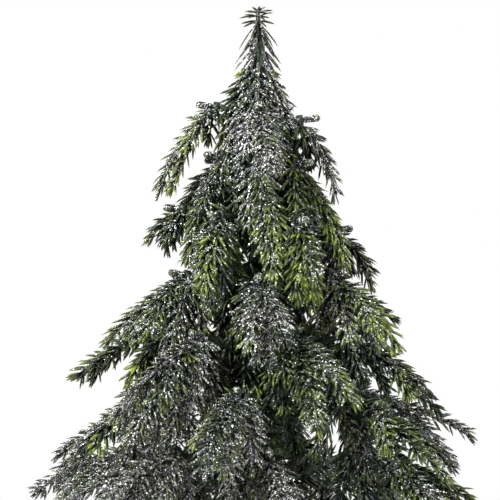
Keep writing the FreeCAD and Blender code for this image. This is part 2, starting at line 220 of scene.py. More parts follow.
def foliage_material():
    """Moulded polyethylene in each needle's own corner colours, which carry painted shade at its
    foot, dusted with fine silver grains whose random brightness is a painted glint.
    """
    material = plain("moulded_foliage", (0.05, 0.1, 0.03), 0.42)
    nodes, links = material.node_tree.nodes, material.node_tree.links
    shader = nodes["Principled BSDF"]
    shader.inputs["Specular IOR Level"].default_value = 0.4
    place = nodes.new("ShaderNodeTexCoord").outputs["Object"]
    painted = nodes.new("ShaderNodeVertexColor")
    painted.layer_name = "tone"
    tint = nodes.new("ShaderNodeVectorMath")
    tint.operation = "SCALE"
    links.new(painted.outputs["Color"], tint.inputs[0])
    links.new(fitted(nodes, links, noise_over(nodes, links, place, 420.0), (0.3, 0.7),
                     (0.65, 1.35)), tint.inputs["Scale"])
    # each grain has a random colour: its red says if it is silver, its green how bright its painted
    # glint is, most grains near black and a few white
    grains = nodes.new("ShaderNodeTexVoronoi")
    grains.inputs["Scale"].default_value = GRAINS_PER_METRE
    links.new(place, grains.inputs["Vector"])
    own = nodes.new("ShaderNodeSeparateColor")
    links.new(grains.outputs["Color"], own.inputs["Color"])
    dusting = nodes.new("ShaderNodeAttribute")
    dusting.attribute_name = "dust"
    covered = combined(nodes, links, "LESS_THAN", own.outputs["Red"], dusting.outputs["Fac"])
    painted_glint = combined(nodes, links, "POWER", own.outputs["Green"], 2.8)
    level = fitted(nodes, links, painted_glint, (0.0, 1.0), (0.02, 1.0))
    silver = nodes.new("ShaderNodeCombineColor")
    for channel in ("Red", "Green", "Blue"):
        links.new(level, silver.inputs[channel])
    mix = nodes.new("ShaderNodeMix")
    mix.data_type = "RGBA"        # its colour sockets are inputs 6 and 7 and output 2
    links.new(covered, mix.inputs[0])
    links.new(tint.outputs["Vector"], mix.inputs[6])
    links.new(silver.outputs["Color"], mix.inputs[7])
    links.new(mix.outputs[2], shader.inputs["Base Color"])
    return material


def woven_material():
    """Plain-weave jute: crossing threads from the cloth's own coordinates, with slubs."""
    material = plain("burlap_weave", (0.5, 0.38, 0.22), 0.9)
    nodes, links = material.node_tree.nodes, material.node_tree.links
    shader = nodes["Principled BSDF"]
    cloth = nodes.new("ShaderNodeUVMap")
    cloth.uv_map = "cloth"
    threads = []
    for direction in ("X", "Y"):
        wave = nodes.new("ShaderNodeTexWave")
        wave.bands_direction = direction
        wave.inputs["Scale"].default_value = WEAVE_SCALE
        wave.inputs["Distortion"].default_value = 1.2
        wave.inputs["Detail Scale"].default_value = 1.5
        links.new(cloth.outputs["UV"], wave.inputs["Vector"])
        threads.append(wave.outputs["Fac"])
    over = combined(nodes, links, "MAXIMUM", *threads)
    slub = noise_over(nodes, links, cloth.outputs["UV"], 160.0, 5.0)
    slub = fitted(nodes, links, slub, (0.35, 0.65), (0.5, 1.0))
    ramp = two_tone(nodes, (0.10, 0.95), (0.12, 0.075, 0.035), (0.50, 0.37, 0.21))
    links.new(combined(nodes, links, "MULTIPLY", over, slub), ramp.inputs["Fac"])
    links.new(ramp.outputs["Color"], shader.inputs["Base Color"])
    roughen(nodes, links, shader, over, 0.7, 0.0005)
    return material


# ---------------------------------------------------------------------------------------------
# Mesh assembly
# ---------------------------------------------------------------------------------------------

class Mesh:
    """Corners, faces, tones and share of glitter dust gathered from many small shapes, in mm."""

    def __init__(self):
        self.points, self.tones, self.dust = [], [], []
        self.faces, self.count = {3: [], 4: []}, 0

    def add(self, points, tones, quads=None, triangles=None, dust=0.0):
        points = np.asarray(points, float).reshape(-1, 3)
        self.points.append(points)
        self.tones.append(np.broadcast_to(tones, (len(points), 3)))
        self.dust.append(np.broadcast_to(dust, len(points)))
        for sides, faces in ((4, quads), (3, triangles)):
            if faces is not None and len(faces):
                self.faces[sides].append(np.asarray(faces, int) + self.count)
        self.count += len(points)

    def build(self, name, materials, smooth=True):
        mesh = bpy.data.meshes.new(name)
        points = np.concatenate(self.points) * MM
        loops, sizes = [], []
        for sides, faces in self.faces.items():
            if faces:
                joined = np.concatenate(faces)
                loops.append(joined.ravel())
                sizes.append(np.full(len(joined), sides))
        loops, sizes = np.concatenate(loops), np.concatenate(sizes)
        mesh.vertices.add(len(points))
        mesh.vertices.foreach_set("co", points.ravel())
        mesh.loops.add(len(loops))
        mesh.loops.foreach_set("vertex_index", loops)
        mesh.polygons.add(len(sizes))
        mesh.polygons.foreach_set("loop_start", np.concatenate([[0], np.cumsum(sizes)[:-1]]))
        mesh.polygons.foreach_set("use_smooth", np.full(len(sizes), smooth))
        tones = np.concatenate(self.tones)
        layer = mesh.color_attributes.new("tone", "FLOAT_COLOR", "POINT")
        layer.data.foreach_set("color", np.column_stack([tones, np.ones(len(tones))]).ravel())
        dust = mesh.attributes.new("dust", "FLOAT", "POINT")
        dust.data.foreach_set("value", np.concatenate(self.dust))
        mesh.update(calc_edges=True)
        for material in materials:
            mesh.materials.append(material)
        thing = bpy.data.objects.new(name, mesh)
        bpy.context.scene.collection.objects.link(thing)
        return thing


def tube_faces(rings, sides):
    """Quads between successive rings of a tube."""
    level, corner = np.meshgrid(np.arange(rings - 1), np.arange(sides), indexing="ij")
    first, second = level * sides + corner, level * sides + (corner + 1) % sides
    return np.stack([first, second, second + sides, first + sides], -1).reshape(-1, 4)


def end_caps(rings, sides):
    """Triangles that close a tube, to the two corners that follow those of its rings."""
    last, ends = (rings - 1) * sides, rings * sides
    low = [[(j + 1) % sides, j, ends] for j in range(sides)]
    high = [[last + j, last + (j + 1) % sides, ends + 1] for j in range(sides)]
    return low + high


def turn_angles(sides):
    """Evenly spaced angles of a whole turn."""
    return np.arange(sides) * 2 * np.pi / sides


def spokes(first, second, sides):
    """Evenly spaced directions in the plane of two directions."""
    angle = turn_angles(sides)[:, None]
    return first * np.cos(angle) + second * np.sin(angle)


def outward(azimuth):
    """The level direction at an azimuth in radians."""
    return np.array([math.cos(azimuth), math.sin(azimuth), 0.0])


def unit(v):
    return v / np.linalg.norm(v, axis=-1, keepdims=True)


# ---------------------------------------------------------------------------------------------
# Foliage: fronds of needles with glitter
# ---------------------------------------------------------------------------------------------

NEEDLE_WIDTH = 1.6
NEEDLE_DEPTH = 0.75
NEEDLE_SWAY = 0.12        # how far a needle bends towards the frond's tip, as a share of its length
NEEDLE_SAG = 0.05         # and downwards
NEEDLE_ROLL = 0.4         # how much needles vary in the side that their ridge faces
NODE_STEP = 4.7           # distance between clusters of needles along a frond
NODE_NOISE = 0.16         # how much needles vary in where they start
CLOSING = 14              # degrees that the needles lie closer at a frond's tip
ROLL_NOISE, SPLAY_NOISE = 8, 6     # degrees
LIME_CLUSTER = (0.07, 0.55)        # share of clusters that are fresher, and by how much
LINE_STEP = 3.5           # distance between points of a frond's middle line
FROND_TWIST = 0.4         # how much fronds vary in their turn about themselves, in radians
RACHIS_RADIUS = 0.95      # at a frond's foot
RACHIS_TAPER = 0.62       # share of that radius which is lost by its tip
TIP_NEEDLES = 4
# a frond's rows of needles: degrees round the rachis, splay, shift along it and share of the
# reach, for its right side and mirrored for its left
NEEDLE_ROWS = [(-20, 58, 0.1, 1.0), (10, 54, 0.0, 1.0), (42, 46, 0.2, 0.95), (80, 28, 0.9, 0.7)]
NEEDLE_ROWS += [(180 - roll, splay, shift, size) for roll, splay, shift, size in NEEDLE_ROWS]
FLAKE = (0.4, 0.95)       # smallest and largest glitter flake
FLAKE_TILT = 0.7          # how much flakes vary in the way they face
FLAKE_LIFT = 0.05         # height of a flake above what it sticks on
ON_TOP = 0.8              # share of the flakes that lie on a needle's ridged side
# linear colours, from a needle's foot to its tip; the near-black at the foot is painted shade over
# the real dark green
DARK_GREEN_AND_SHADE = np.array([0.004, 0.006, 0.005])
GREEN = np.array([0.012, 0.021, 0.008])
LIME = np.array([0.19, 0.25, 0.03])
FROST = np.array([0.022, 0.022, 0.022])
# where along a needle its rings are, how wide each is, and how far the bend has gone there
RINGS = ((0.0, 0.5, 0.0), (0.40, 0.95, 0.2), (0.76, 0.82, 0.6))
# faces of a needle, by the corners of its three rings (0 to 8) and its tip (9)
NEEDLE_QUADS = [[k + j, k + (j + 1) % 3, k + 3 + (j + 1) % 3, k + 3 + j] for k in (0, 3)
                for j in range(3)]
NEEDLE_ENDS = [[6, 7, 9], [7, 8, 9], [8, 6, 9], [2, 1, 0]]
DUST_ALONG = np.repeat([1.0, 0.9, 0.6, 0.4], [3, 3, 3, 1])


def needles(mesh, flakes, foot, along, ahead, over, length, tone, frost, sparkle, rng):
    """Many ridged, tapered, slightly curved needles and the glitter on them.

    foot, along, ahead, over: arrays of where each starts, its direction, the frond's direction
    and the side its ridge faces. length, tone, frost, sparkle: how long, lime and dusted each
    is, and its flakes.
    """
    count = len(foot)
    over = unit(over + rng.normal(0, NEEDLE_ROLL, (count, 3)))
    side = unit(np.cross(along, over))
    face = unit(np.cross(side, along))
    reach = length[:, None]
    sway = (NEEDLE_SWAY * ahead - NEEDLE_SAG * UP) * reach
    across = side * NEEDLE_WIDTH / 2
    raised = face * NEEDLE_DEPTH
    rings = []
    for share, width, bend in RINGS:
        centre = foot + along * reach * share + sway * bend
        rings += [centre - across * width, centre + raised * width, centre + across * width]
    tip = foot + along * reach + sway
    points = np.stack(rings + [tip], 1)
    base = (np.arange(count) * points.shape[1])[:, None, None]
    mesh.add(points, needle_tones(tone[:, None], frost[:, None]),
             (base + np.array(NEEDLE_QUADS)).reshape(-1, 4),
             (base + np.array(NEEDLE_ENDS)).reshape(-1, 3), (frost[:, None] * DUST_ALONG).ravel())
    add_flakes(flakes, foot, along * reach, sway, across, face, sparkle, rng)


def needle_tones(tone, frost):
    """Colours of the corners of needles that are that lime and that dusted, near black at their feet
    with painted shade.
    """
    shaded_foot_tone = DARK_GREEN_AND_SHADE * (1 - frost) + FROST * frost * 0.25
    middle_tone = GREEN * (0.55 + 0.5 * tone) + LIME * tone ** 2 * 0.3
    middle_tone = middle_tone * (1 - frost) + FROST * frost * 0.85
    end_tone = (GREEN + (LIME - GREEN) * tone) * (1 - 0.5 * frost) + FROST * frost * 0.5
    return np.stack([shaded_foot_tone] * 3 + [middle_tone] * 3 + [end_tone] * 4, 1).reshape(-1, 3)


def add_flakes(flakes, foot, run, sway, across, face, sparkle, rng):
    """Glitter flakes stuck on the needles, each tilted its own way."""
    number = rng.poisson(sparkle)
    which = np.repeat(np.arange(len(foot)), number)
    if not len(which):
        return
    share = rng.uniform(0.02, 0.95, len(which))[:, None]
    sideways = rng.uniform(-0.85, 0.85, len(which))[:, None]
    width = np.interp(share, [r[0] for r in RINGS] + [1.0], [r[1] for r in RINGS] + [0.1])
    out = face[which] * np.where(rng.uniform(0, 1, len(which)) < ON_TOP, 1.0, -0.4)[:, None]
    centre = foot[which] + run[which] * share + sway[which] * share ** 1.8
    centre = centre + across[which] * sideways * width
    centre = centre + out * (NEEDLE_DEPTH * width * (1 - np.abs(sideways)) + FLAKE_LIFT)
    flat_flakes(flakes, centre, unit(out + rng.normal(0, FLAKE_TILT, (len(which), 3))), rng)


def flat_flakes(flakes, centre, normal, rng):
    """Small four-cornered flakes facing along normal."""
    count = len(centre)
    first = unit(np.cross(normal, rng.normal(0, 1, (count, 3))))
    second = np.cross(normal, first)
    half = rng.uniform(*FLAKE, count)[:, None] / 2
    stretch = rng.uniform(0.65, 1.0, count)[:, None]
    corners = np.stack([centre + first * half, centre + second * half * stretch,
                        centre - first * half, centre - second * half * stretch], 1)
    flakes.add(corners, np.ones(3), np.arange(count * 4).reshape(-1, 4))


def frond(mesh, flakes, start, out, side, up, slopes, length, bare, look, rng, reach=8.0,
          bend=0.0):
    """One frond: a tapered, arching rachis with clusters of needles on both sides and on top.

    out, side, up: the frame that it lies in. slopes: degrees below the out direction at its two
    ends. bare: where its needles begin. look: (lime of the tips, frost, flakes per needle).
    Returns the points of its middle line.
    """
    lie = frond_line(start, out, side, up, slopes, length, bend, rng)
    add_rachis(mesh, lie, look)
    add_needle_rows(mesh, flakes, lie, length, bare, look, reach, rng)
    add_tip_needles(mesh, flakes, [directions[-1] for directions in lie], look, reach, rng)
    return lie[0]


def frond_line(start, out, side, up, slopes, length, bend, rng):
    """A frond's middle line, and its forward, upper and side directions at each point."""
    steps = max(6, int(length / LINE_STEP))
    distance = np.linspace(0, length, steps + 1)
    share = distance / length
    slope = np.radians(slopes[0] + (slopes[1] - slopes[0]) * share)
    turn = bend * share ** 1.5
    flat = out * np.cos(turn)[:, None] + side * np.sin(turn)[:, None]
    ahead = flat * np.cos(slope)[:, None] - up * np.sin(slope)[:, None]
    over = flat * np.sin(slope)[:, None] + up * np.cos(slope)[:, None]
    moves = (ahead[1:] + ahead[:-1]) / 2 * np.diff(distance)[:, None]
    line = start + np.concatenate([[np.zeros(3)], np.cumsum(moves, 0)])
    twist = rng.normal(0, FROND_TWIST)
    over = over * math.cos(twist) + np.cross(over, ahead) * math.sin(twist)
    return line, ahead, over, np.cross(over, ahead)


def add_rachis(mesh, lie, look):
    """A frond's stalk: a tapered tube that ends in a point."""
    line, ahead, over, beside = lie
    lime, frost, _ = look
    rings, sides = len(line), 6
    radius = RACHIS_RADIUS * (1 - RACHIS_TAPER * np.linspace(0, 1, rings))
    tube = spokes(beside[:, None], over[:, None], sides) * radius[:, None, None] + line[:, None]
    last = (rings - 1) * sides
    point = [[last + j, last + (j + 1) % sides, last + sides] for j in range(sides)]
    tone = GREEN * (0.5 + 0.7 * lime) * (1 - frost) + FROST * frost * 0.5
    mesh.add(np.concatenate([tube.reshape(-1, 3), line[-1:] + ahead[-1:] * 0.8]), tone,
             tube_faces(rings, sides), point, dust=frost)


def add_needle_rows(mesh, flakes, lie, length, bare, look, reach, rng):
    """The rows of needles along a frond, in clusters that share a tone."""
    lime, frost, sparkle = look
    clusters = np.arange(bare, length - 0.3, NODE_STEP)
    shade = rng.normal(0, 0.1, len(clusters))
    fresh, by = LIME_CLUSTER
    shade += by * (rng.uniform(0, 1, len(clusters)) < fresh)
    count = len(clusters) * len(NEEDLE_ROWS)
    roll, splay, shift, size = np.repeat(np.array(NEEDLE_ROWS), len(clusters), 0).T
    at = np.tile(clusters, len(NEEDLE_ROWS)) + shift
    at = np.clip(at + rng.normal(0, NODE_NOISE, count), 0, length)
    roll = np.radians(roll + rng.normal(0, ROLL_NOISE, count))[:, None]
    splay = np.radians(splay + rng.normal(0, SPLAY_NOISE, count) - CLOSING * at / length)[:, None]
    steps = len(lie[0]) - 1
    place = at / length * steps
    step = np.minimum(place.astype(int), steps - 1)
    past = (place - step)[:, None]
    foot = lie[0][step] * (1 - past) + lie[0][step + 1] * past
    ahead, over, beside = (directions[step] for directions in lie[1:])
    away = beside * np.cos(roll) + over * np.sin(roll)
    along = unit(ahead * np.cos(splay) + away * np.sin(splay))
    share = at / length
    grown = reach * (0.74 + 0.42 * np.sin(np.pi * (0.2 + 0.62 * share)))
    grown *= rng.uniform(0.86, 1.1, count) * size
    ridge = over - along * np.sum(over * along, 1)[:, None] + 1e-6
    tone = lime * (0.2 + 1.1 * share) + np.tile(shade, len(NEEDLE_ROWS))
    tone = np.clip(tone + rng.normal(0, 0.08, count), 0, 1)
    white = np.clip(frost * (0.75 + 0.25 * share) + rng.normal(0, 0.12, count), 0, 0.9)
    number = sparkle * (0.8 + 0.2 * share) * rng.uniform(0.5, 1.5, count)
    needles(mesh, flakes, foot, along, ahead, unit(ridge), grown, tone, white, number, rng)


def add_tip_needles(mesh, flakes, end, look, reach, rng):
    """The needles at a frond's tip, close round its direction."""
    lime, frost, sparkle = look
    line, ahead, over, beside = (np.tile(values, (TIP_NEEDLES, 1)) for values in end)
    spread = np.radians(rng.uniform(6, 24, TIP_NEEDLES))[:, None]
    roll = rng.uniform(0, 2 * np.pi, TIP_NEEDLES)[:, None]
    away = beside * np.cos(roll) + over * np.sin(roll)
    along = unit(ahead * np.cos(spread) + away * np.sin(spread))
    each = np.ones(TIP_NEEDLES)
    needles(mesh, flakes, line, along, ahead, over, each * reach * 0.82,
            each * min(1.0, lime * 1.2), each * frost * 0.5, each * sparkle * 0.6, rng)


def add_collar(mesh, centre, axis, inner, outer, length, tone, sides=20):
    """A collar: a short round tube with softened rims."""
    first = unit(np.cross(axis, UP + 1e-3))
    spoke = spokes(first, np.cross(axis, first), sides)
    soft, half = 0.3, length / 2
    outline = [(inner, soft - half), (inner + soft, -half), (outer - soft, -half),
               (outer, soft - half), (outer, half - soft), (outer - soft, half),
               (inner + soft, half), (inner, half - soft)]
    rings = [centre + spoke * radius + axis * along for radius, along in outline]
    # the first ring again at the end, so that the outline closes
    faces = tube_faces(len(rings) + 1, sides) % (len(rings) * sides)
    mesh.add(np.stack(rings), tone, faces)


# Mould: length of the middle frond, its droop below the peg's axis, and its fronds as (yaw from
# the peg's axis, share of the length, extra droop, how far along the middle frond it starts)
FAN = [(0, 1.10, 2, 0), (22, 0.84, 4, 0.14), (-20, 0.78, 4, 0.24), (42, 0.62, 20, 0),
       (-46, 0.58, 24, 0)]
BRANCHED = [(28, 0.42, 4, 0.40), (-28, 0.38, 4, 0.52)]
STEEP = [(8, 0.96, 26, 0), (-12, 0.84, 34, 0), (72, 0.36, 34, 0)]
INNER = [(180, 0.55, 6, 0), (138, 0.5, 12, 0), (-138, 0.5, 12, 0)]
MOULDS = {
    "crown": (42.0, 58.0, FAN[:1] + FAN[3:] + [(24, 0.7, 6, 0.2), (180, 0.6, 0, 0)]),
    "weeping": (46.0, 64.0, FAN + STEEP[2:] + [(180, 0.6, 4, 0)]),
    "short": (31.0, 54.0, FAN + [(10, 1.35, 26, 0), (-20, 1.25, 26, 0), (34, 1.0, 26, 0),
                                 (180, 0.8, 4, 0)]),
    "medium": (43.0, 52.0, FAN + BRANCHED[:1] + STEEP + INNER),
    "level": (52.0, 42.0, FAN + BRANCHED + STEEP + INNER),
    "long": (56.0, 50.0, FAN + BRANCHED + STEEP + INNER),
    "longest": (62.0, 50.0, FAN + BRANCHED + STEEP + INNER),
}
TIER_MOULD = {"a": "crown", "b": "weeping", "c": "short", "d": "medium", "e": "level", "f": "long",
              "g": "longest", "h": "longest"}
# sprays whose fronds are shorter than their mould's
SHORTER = {"spray_a1": 0.70, "spray_c1": 0.8, "spray_c4": 0.6, "spray_e4": 0.84,
           "spray_g1": 0.84}
# sprays with a look of their own: (lime of the tips, glitter dust)
OWN_LOOK = {"spray_a3": (0.8, 0.12), "spray_b4": (0.5, 0.45), "spray_b5": (0.4, 0.35),
            "spray_b6": (0.75, 0.15), "spray_c4": (0.15, 0.25), "spray_c5": (0.3, 0.3),
            "spray_c6": (0.45, 0.22), "spray_d5": (0.15, 0.45), "spray_d6": (0.3, 0.3),
            "spray_e5": (0.1, 0.5), "spray_f5": (0.1, 0.6)}
DUSTED = 0.46             # mean share of dust on a spray
DUST_AND_LIT_SIDE = np.array([-0.16, -0.16, 0.0])    # the dust lies thicker towards this side, the front left where the key light falls, so part of it is painted light
DUST_NOISE = 0.2          # how much sprays, and fronds of one spray, vary in dust
LIME_NOISE = 0.2          # how much fronds of one spray vary in lime
ARCH = 15.0               # how much steeper a frond's tip is than its middle
STEEP_FROM = 20           # extra droop from which a frond is one of the steep ones
# degrees by which a spray turns and droops its own way, and then each of its fronds
SPRAY_YAW, SPRAY_DROOP = 6, 5
FROND_YAW, FROND_DROOP, FROND_ARCH = 8, 8, 5
FROND_BEND = 0.3          # radians
FROND_LENGTH = (0.72, 1.08)
COLLAR = (1.16, 2.5, 3.0)  # a collar's inner and outer radius and its length
COLLAR_EDGE = 1.9         # how far from the peg's middle a frond starts
FROND_BARE = 1.6          # where a spray's fronds have their first needles
STEEPEST = 102            # degrees below the peg's axis


def spray_frame(joint):
    """Where a spray's collar is, and its peg's axis, side and upward directions."""
    centre = np.array(joint["pos_m"], float) / MM
    axis = unit(np.array(joint["axis"], float))
    side = unit(np.cross(UP, axis))
    return centre, axis, side, np.cross(axis, side)


def build_spray(joint, number, foliage, glitter):
    """One spray moulding and its glitter, riding on the spray's own body."""
    body = joint["child"]
    rng = np.random.default_rng(100 + number)
    length, droop, fronds = MOULDS[TIER_MOULD[body.split("_")[1][0]]]
    length *= SHORTER.get(body, 1.0)
    centre, axis, side, up = spray_frame(joint)
    mesh, flakes = Mesh(), Mesh()
    add_collar(mesh, centre, axis, *COLLAR, GREEN * 0.6)
    # sprays facing the front left, towards the key light, get more dust: painted light over the real
    # dust
    dusted = DUSTED + float(axis @ DUST_AND_LIT_SIDE) + rng.normal(0, DUST_NOISE)
    own_look = rng.uniform(0.0, 0.32), float(np.clip(dusted, 0.05, 0.85))
    own_look = OWN_LOOK.get(body, own_look)
    hang = 0.55 + 0.45 * abs(axis[1])    # the steep fronds are shorter at the tree's two sides
    spray_yaw, spray_droop = rng.normal(0, SPRAY_YAW), rng.normal(0, SPRAY_DROOP)
    for yaw, share, extra, branch in fronds:
        yaw_now = math.radians(yaw + spray_yaw + rng.normal(0, FROND_YAW))
        out = axis * math.cos(yaw_now) + side * math.sin(yaw_now)
        round_collar = math.radians(max(-90, min(90, yaw * 1.5)) if abs(yaw) < 90 else 0)
        start = side * math.sin(round_collar) - up * math.cos(round_collar)
        start = centre + start * COLLAR_EDGE
        middle = droop + extra + spray_droop + rng.normal(0, FROND_DROOP)
        if extra > STEEP_FROM:
            share *= hang
        arch = ARCH + rng.normal(0, FROND_ARCH)
        if branch:
            start = main[int(branch * (len(main) - 1))]
            middle += ARCH * branch
            arch *= 1 - branch
        slopes = (middle - arch, min(middle + arch, STEEPEST))
        line = frond(mesh, flakes, start, out, np.cross(up, out), up, slopes,
                     length * share * rng.uniform(*FROND_LENGTH), FROND_BARE,
                     frond_look(*own_look, rng), rng, bend=rng.normal(0, FROND_BEND))
        if yaw == 0:
            main = line
    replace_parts(finish_foliage(body, body, mesh, flakes, foliage, glitter), body)


def frond_look(lime, frost, rng):
    """A frond's own lime, frost and glitter, near those of its spray."""
    lime += rng.normal(0, LIME_NOISE) + 0.4 * (rng.uniform() < 0.15)
    lime = float(np.clip(lime, 0, 1))
    frost = float(np.clip(frost + rng.normal(0, DUST_NOISE), 0.03, 0.8))
    return lime, frost, 0.5 + 14.0 * frost ** 1.3


def ring_of_needles(mesh, flakes, centre, radius, count, slope, length, look, rng, turn=0.0):
    """Needles pointing outward all round a stalk, slope below the horizontal in degrees."""
    lime, frost, sparkle = look
    azimuth = turn_angles(count) + turn + rng.normal(0, 0.14, count)
    out = np.stack([np.cos(azimuth), np.sin(azimuth), 0 * azimuth], 1)
    slope = np.radians(slope + rng.normal(0, 5, count))[:, None]
    along = out * np.cos(slope) - UP * np.sin(slope)
    ridge = out * np.sin(slope) + UP * np.cos(slope)
    needles(mesh, flakes, centre + out * radius, along, -0.5 * UP + 0 * out, ridge,
            length * rng.uniform(0.88, 1.08, count),
            np.clip(lime + rng.normal(0, 0.15, count), 0, 1),
            np.clip(frost + rng.normal(0, 0.12, count), 0, 0.9),
            sparkle * rng.uniform(0.6, 1.4, count), rng)


def stalk(mesh, low, high, low_radius, high_radius, tone, rings=8, sides=10):
    """A tapered, closed upright stalk on the tree's axis."""
    circle = spokes(outward(0), outward(np.pi / 2), sides)
    levels = zip(np.linspace(low, high, rings), np.linspace(low_radius, high_radius, rings))
    points = [circle * radius + UP * z for z, radius in levels] + [[UP * low], [UP * high]]
    mesh.add(np.concatenate(points), tone, tube_faces(rings, sides), end_caps(rings, sides))


def finish_foliage(name, body, mesh, flakes, foliage, glitter):
    """Makes the two objects of a piece of foliage, riding on its body."""
    moulding = mesh.build(f"{name}_moulding", [foliage])
    dust = flakes.build(f"{name}_glitter", [glitter], smooth=False)
    for piece in (moulding, dust):
        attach(piece, body)
    return moulding


STEM_RADIUS = 3.0         # where the fronds of the stem and the leader start
LEADER_RINGS, LEADER_RING_STEP = 12, 3.7
LEADER_NEEDLE = 12.8
LEADER_FRONDS, LEADER_FROND_LENGTH = 12, 34
LEADER_DROPS = (18.0, 26.0, 34.0)    # below its top, where its fronds start in turn
# the tuft's rings of needles: distance below the tree's top, needle length, slope
TUFT_RINGS = ((7.2, 8.0, 6), (5.2, 8.0, -4), (3.4, 6.2, -8))
TUFT_LOOK = (0.12, 0.15, 1.5)


def build_leader(foliage, glitter):
    """The cap: needles round the tip's stalk, then fronds that hang closely round the stem."""
    rng = np.random.default_rng(7)
    mesh, flakes = Mesh(), Mesh()
    stalk(mesh, LEADER_TOP - 12, LEADER_TOP + 2.0, 3.2, 1.2, GREEN * 0.6)
    for layer in range(LEADER_RINGS):
        height = LEADER_TOP + 1.2 - layer * LEADER_RING_STEP
        look = (rng.uniform(0.0, 0.25), rng.uniform(0.15, 0.4), 2.0 + 0.35 * layer)
        ring_of_needles(mesh, flakes, UP * height, 0.8 + 0.42 * layer, 6 + layer // 3, 50,
                        LEADER_NEEDLE, look, rng, turn=layer * 0.52)
    for i in range(LEADER_FRONDS):
        out = outward(math.radians(i * 360 / LEADER_FRONDS + rng.normal(0, 5)))
        start = out * STEM_RADIUS + UP * (LEADER_TOP - LEADER_DROPS[i % len(LEADER_DROPS)])
        frond(mesh, flakes, start, out, np.cross(UP, out), UP, (60, 78), LEADER_FROND_LENGTH, 0.6,
              frond_look(0.2, 0.5, rng), rng, reach=9.0, bend=rng.normal(0, 0.12))
    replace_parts(finish_foliage("leader", TRUNK, mesh, flakes, foliage, glitter), "leader_spray")


def build_tuft(foliage, glitter):
    """Rings of short, nearly level needles on the tip's stalk, and a last few that stand up."""
    rng = np.random.default_rng(11)
    mesh, flakes = Mesh(), Mesh()
    stalk(mesh, LEADER_TOP - 1.0, TREE_TOP - 2.2, 1.5, 0.7, GREEN * 0.8)
    for layer, (drop, length, slope) in enumerate(TUFT_RINGS):
        ring_of_needles(mesh, flakes, UP * (TREE_TOP - drop), 0.5, 7, slope, length, TUFT_LOOK,
                        rng, turn=layer * 0.4)
    ring_of_needles(mesh, flakes, UP * (TREE_TOP - 3.0), 0.2, 5, -40, 4.0, (0.1, 0.15, 1.5), rng)
    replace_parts(finish_foliage("tuft", TRUNK, mesh, flakes, foliage, glitter), "top_tuft")


STEM_NODES = ("stem_lower", "stem_middle", "stem_upper")
# no lime and next to no dust: the inner fronds' darkness is painted shade
STEM_SHADED_LOOK = (0.0, 0.03, 0.4)
WHORL_STEP = 14.0         # height between whorls of short fronds on the stem
WHORL_FRONDS = 7
WHORL_TURN = 21           # degrees between a whorl and the next


def build_stem_foliage(foliage, glitter):
    """Whorls of short fronds moulded on each stem section, hanging close round it, kept dark with
    painted shade.
    """
    for number, node in enumerate(STEM_NODES):
        rng = np.random.default_rng(40 + number)
        mesh, flakes = Mesh(), Mesh()
        low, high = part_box(node)[0].z / MM, min(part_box(node)[1].z / MM, LEADER_TOP - 40)
        for level, height in enumerate(np.arange(high - 4, low + 24, -WHORL_STEP)):
            for i in range(WHORL_FRONDS):
                turn = i * 360 / WHORL_FRONDS + level * WHORL_TURN
                out = outward(math.radians(turn + rng.normal(0, 5)))
                frond(mesh, flakes, out * STEM_RADIUS + UP * height, out, np.cross(UP, out), UP,
                      (44, 78), rng.uniform(28, 36), 1.5, STEM_SHADED_LOOK, rng,
                      bend=rng.normal(0, 0.15))
        finish_foliage(f"{node}_foliage", TRUNK, mesh, flakes, foliage, glitter)


PIN_FLAKES = 40           # glitter flakes on each peg's outer part
ARM_NEEDLE_STEP = 0.75    # distance between needles along an arm
PEG_END = (1.9, 9.3)      # where along a peg its dusted outer part begins and ends


def bud(mesh, start, axis, sides=14, rings=12):
    """The dusted, slightly swelling end of a peg beyond its spray's collar."""
    first = unit(np.cross(axis, UP))
    spoke = spokes(first, np.cross(axis, first), sides)
    shares = np.linspace(0, 1, rings)
    run = axis * (PEG_END[1] - PEG_END[0])
    points = [start + run * share + spoke * peg_radius(share) for share in shares]
    # near black at the collar end with painted shade, greening towards the tip with a little lime at
    # its end
    tones = [DARK_GREEN_AND_SHADE + (GREEN + LIME * 0.25 * share ** 6) * share ** 2 for share in shares]
    mesh.add(np.concatenate(points + [[start, start + run]]),
             np.concatenate([np.repeat(tones, sides, 0), [DARK_GREEN_AND_SHADE, GREEN]]),
             tube_faces(rings, sides), end_caps(rings, sides), dust=0.3)


def peg_radius(share):
    """Radius of a peg's outer part, from its collar (0) to its rounded tip (1)."""
    return (1.35 + 0.45 * share) * np.sqrt(np.clip(1 - np.clip((share - 0.72) / 0.29, 0, 1) ** 2.5,
                                                   0.05, 1))


def build_arm_needles(joints, foliage, glitter):
    """Short dark needles along the arms, which fill the inside of the tree, and the pegs' ends."""
    rng = np.random.default_rng(23)
    mesh, flakes = Mesh(), Mesh()
    for joint in joints:
        centre, axis, side, up = spray_frame(joint)
        run = math.hypot(centre[0], centre[1]) / math.hypot(axis[0], axis[1])
        at = np.arange(6.0, run - 7.0, ARM_NEEDLE_STEP)
        away = turned_away(side, up, len(at), rng)
        foot = centre - axis * (run - at)[:, None]
        along = unit(axis * 0.55 + away * 0.83 - UP * 0.15)
        needles(mesh, flakes, foot + away * 0.6, along, axis + 0 * away, away,
                rng.uniform(8, 11, len(at)), rng.uniform(0, 0.3, len(at)),
                rng.uniform(0, 0.3, len(at)), np.full(len(at), 0.6), rng)
        share = rng.uniform(0.0, 1.0, PIN_FLAKES)[:, None]
        away = turned_away(side, up, PIN_FLAKES, rng)
        spot = centre + axis * (PEG_END[0] + (PEG_END[1] - PEG_END[0]) * share)
        tilt = rng.normal(0, 0.4, (PIN_FLAKES, 3))
        spot += away * (peg_radius(share) + FLAKE_LIFT)
        flat_flakes(flakes, spot, unit(away + tilt), rng)
        bud(mesh, centre + axis * PEG_END[0], axis)
    finish_foliage("arms", TRUNK, mesh, flakes, foliage, glitter)


